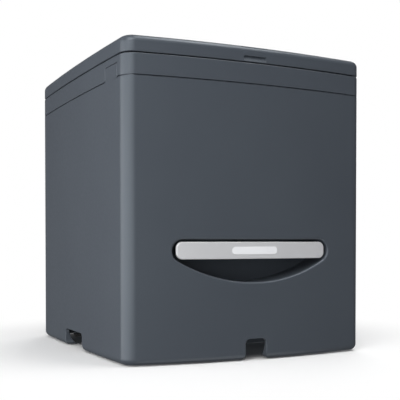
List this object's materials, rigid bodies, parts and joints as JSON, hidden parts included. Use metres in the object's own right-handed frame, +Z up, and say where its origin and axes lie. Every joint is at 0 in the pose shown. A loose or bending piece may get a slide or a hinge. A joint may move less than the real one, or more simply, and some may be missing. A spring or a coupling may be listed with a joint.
{
  "type": "composting toilet",
  "caption": "Boxy floor-standing composting toilet with a hinged lid and seat housing, diverter bowl with trap flap, bin with agitator, liquid bottle, vent fan and pull-out front handle.",
  "frame": {"origin": "on the floor under the middle of the bounding box", "axes": "+Z up, the front with the handle faces -Y, +X to the right seen from the front"},
  "size_m": [0.3912, 0.4327, 0.425],
  "materials": {
    "shell": "satin moulded, fine grain",
    "handle_silver": "satin anodised, bevelled edges",
    "grip_dark": "moulded",
    "black_plastic": "moulded, fine grain",
    "bowl_white": "glossy moulded",
    "bottle_clear": "milky blow-moulded",
    "bush_plastic": "acetal",
    "steel": "turned",
    "hinge_metal": "dark painted",
    "seal_rubber": "matt",
    "carbon": "open-cell carbon foam"
  },
  "bodies": {
    "base": {"base_tub": "shell", "rubber_feet": "seal_rubber", "stem_bush": "bush_plastic", "solids_bin": "black_plastic", "bin_seal": "seal_rubber", "front_shaft_bush": "bush_plastic", "rear_shaft_bush": "bush_plastic", "shaft_seal": "seal_rubber", "liquid_bottle": "bottle_clear", "tub_hinge_leaves": "hinge_metal", "tub_hinge_pins": "steel", "tub_hinge_screws": "steel", "fan_frame": "black_plastic", "fan_screws": "steel", "filter_cassette": "black_plastic", "filter_pad": "carbon", "vent_collar": "grip_dark", "collar_screws": "steel", "power_inlet": "black_plastic", "inlet_nut": "steel", "fan_lead": "black_plastic"},
    "handle": {"handle_bar": "handle_silver", "handle_grip": "grip_dark", "handle_stem": "steel"},
    "agitator": {"agitator_shaft": "steel", "agitator_paddles": "bush_plastic"},
    "fan_rotor": {"fan_impeller": "black_plastic"},
    "seat": {"seat_housing": "shell", "diverter_bowl": "bowl_white", "bowl_spout": "bowl_white", "trap_brackets": "bowl_white", "seat_hinge_leaves": "hinge_metal", "seat_hinge_screws": "steel", "lid_hinge_pins": "steel"},
    "trap": {"trap_flap": "bowl_white", "trap_seal": "seal_rubber", "trap_pin": "steel", "trap_lever": "handle_silver"},
    "lid_top": {"lid": "shell", "lid_seal": "seal_rubber", "lid_bumpers": "seal_rubber", "lid_hinge_leaves": "hinge_metal", "lid_hinge_screws": "steel"}
  },
  "joints": [
    {"name": "seat_hinge", "type": "hinge", "parent": "base", "child": "seat", "pos_m": [0, 0.20707, 0.3712], "axis": [-1, 0, 0], "range_deg": [0, 75]},
    {"name": "lid_hinge", "type": "hinge", "parent": "seat", "child": "lid_top", "pos_m": [0, 0.20707, 0.4004], "axis": [-1, 0, 0], "range_deg": [0, 100]},
    {"name": "trap_hinge", "type": "hinge", "parent": "seat", "child": "trap", "pos_m": [0, 0.092, 0.343], "axis": [1, 0, 0], "range_deg": [0, 75]},
    {"name": "handle_pull", "type": "slide", "parent": "base", "child": "handle", "axis": [0, -1, 0], "range_m": [0, 0.075]},
    {"name": "agitator_turn", "type": "hinge", "parent": "base", "child": "agitator", "pos_m": [0, 0.05, 0.14605], "axis": [0, 1, 0], "continuous": true},
    {"name": "fan_spin", "type": "hinge", "parent": "base", "child": "fan_rotor", "pos_m": [0, 0.18043, 0.318], "axis": [0, 1, 0], "continuous": true}
  ]
}
